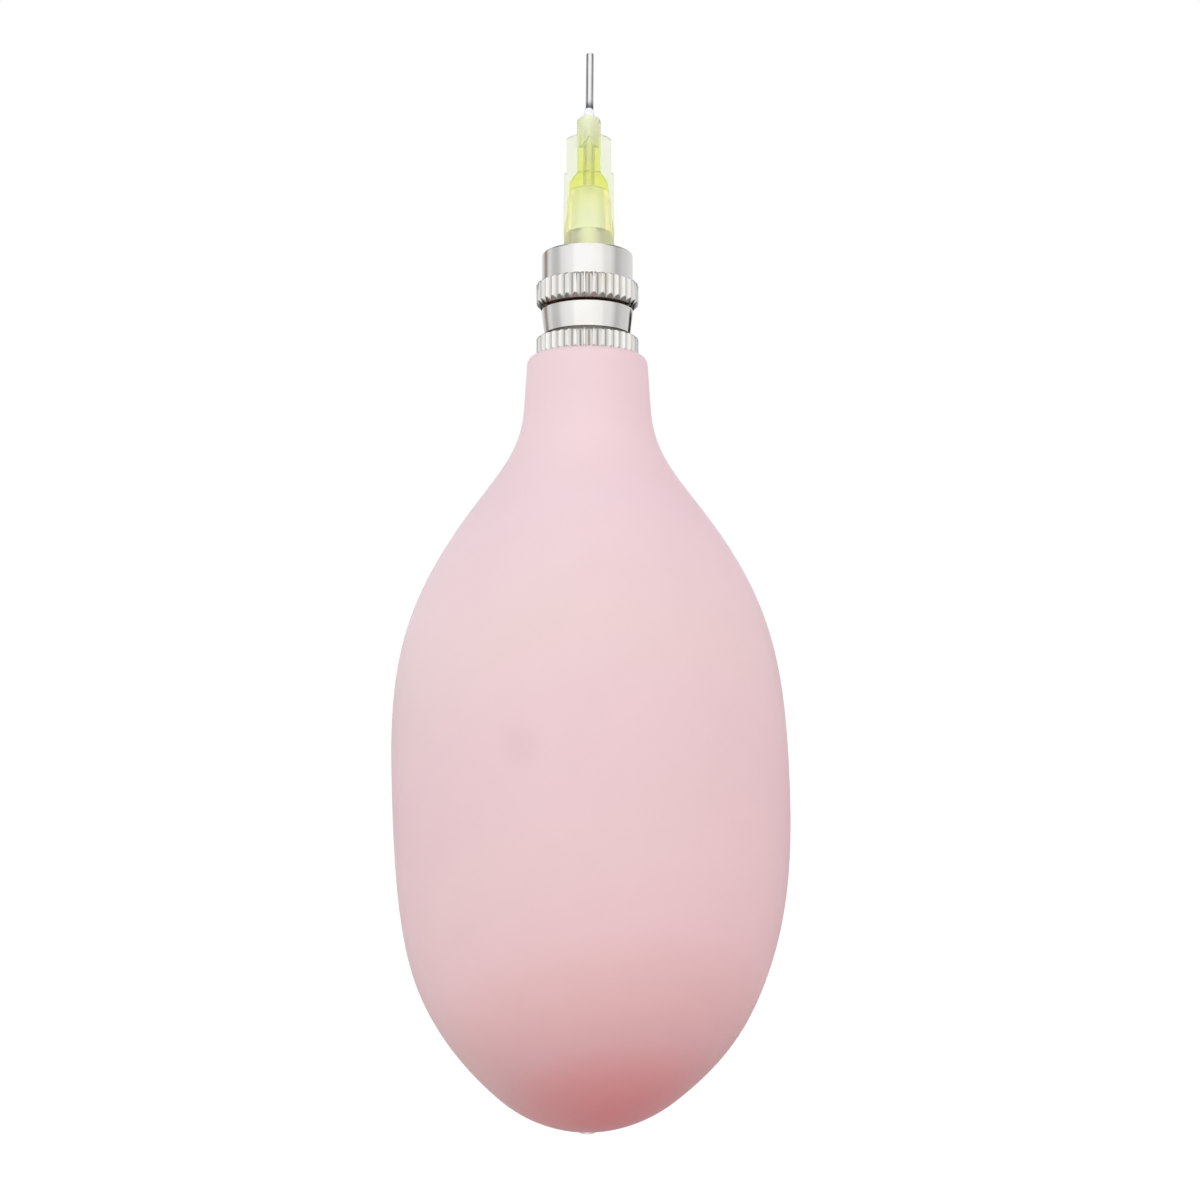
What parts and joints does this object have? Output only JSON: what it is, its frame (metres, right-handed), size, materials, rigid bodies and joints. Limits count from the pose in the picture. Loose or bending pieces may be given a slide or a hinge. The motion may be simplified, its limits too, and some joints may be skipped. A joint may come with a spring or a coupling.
{
  "type": "hand air pump with inflation needle",
  "caption": "Rubber squeeze bulb with check valves, a knurled metal neck and a lock collar that holds a blunt inflation needle in a clear winged hub.",
  "frame": {"origin": "on the pump's axis at the lowest point of the tail valve's nose", "axes": "+Z along the pump's axis from the tail to the needle's tip; +X across the hub's wings"},
  "size_m": [0.0462, 0.0462, 0.1266],
  "materials": {
    "pink_rubber": "satin moulded rubber",
    "plated_brass": "bright nickel-chrome plate on turned brass",
    "bare_brass": "turned brass",
    "steel": "drawn and ground stainless steel",
    "black_rubber": "smooth black seal rubber",
    "brown_fibre": "vulcanised fibre",
    "hub_plastic": "clear yellow-green polypropylene",
    "white_glue": "cured white epoxy"
  },
  "bodies": {
    "root": {"bulb": "pink_rubber", "neck_stem": "bare_brass", "cap_seal": "black_rubber", "outlet_seat": "black_rubber", "outlet_spring": "steel", "outlet_cage": "bare_brass", "valve_cap": "plated_brass", "nozzle_seal": "black_rubber", "luer_nozzle": "plated_brass", "collar_washer": "brown_fibre"},
    "tail_valve": {"inlet_body": "plated_brass", "inlet_gauze": "steel", "inlet_seat": "black_rubber", "inlet_spring": "steel", "inlet_cage": "bare_brass"},
    "inlet_check": {"inlet_ball": "steel"},
    "outlet_check": {"outlet_ball": "steel"},
    "collar": {"lock_collar": "plated_brass"},
    "needle": {"needle_hub": "hub_plastic", "needle_glue": "white_glue", "needle_tube": "steel"}
  },
  "joints": [
    {"name": "bulb_press", "type": "slide", "parent": "root", "child": "tail_valve", "axis": [0, 0, 1], "range_m": [0, 0.012], "stiffness_N_per_m": 900, "deforming": ["bulb"]},
    {"name": "inlet_open", "type": "slide", "parent": "tail_valve", "child": "inlet_check", "axis": [0, 0, 1], "range_m": [0, 0.001], "stiffness_N_per_m": 30, "springref_m": -0.001, "deforming": ["inlet_spring"]},
    {"name": "outlet_open", "type": "slide", "parent": "root", "child": "outlet_check", "axis": [0, 0, 1], "range_m": [0, 0.001], "stiffness_N_per_m": 30, "springref_m": -0.001, "deforming": ["outlet_spring"]},
    {"name": "collar_turn", "type": "hinge", "parent": "root", "child": "collar", "pos_m": [0, 0, 0.09665], "axis": [0, 0, 1], "range_deg": [-360, 0]},
    {"name": "needle_lift", "type": "slide", "parent": "root", "child": "needle", "axis": [0, 0, 1], "range_m": [0, 0.005]}
  ],
  "couplings": [
    {"joint": "collar_turn", "follows": "needle_lift", "rad_per_m": -1256.6}
  ]
}
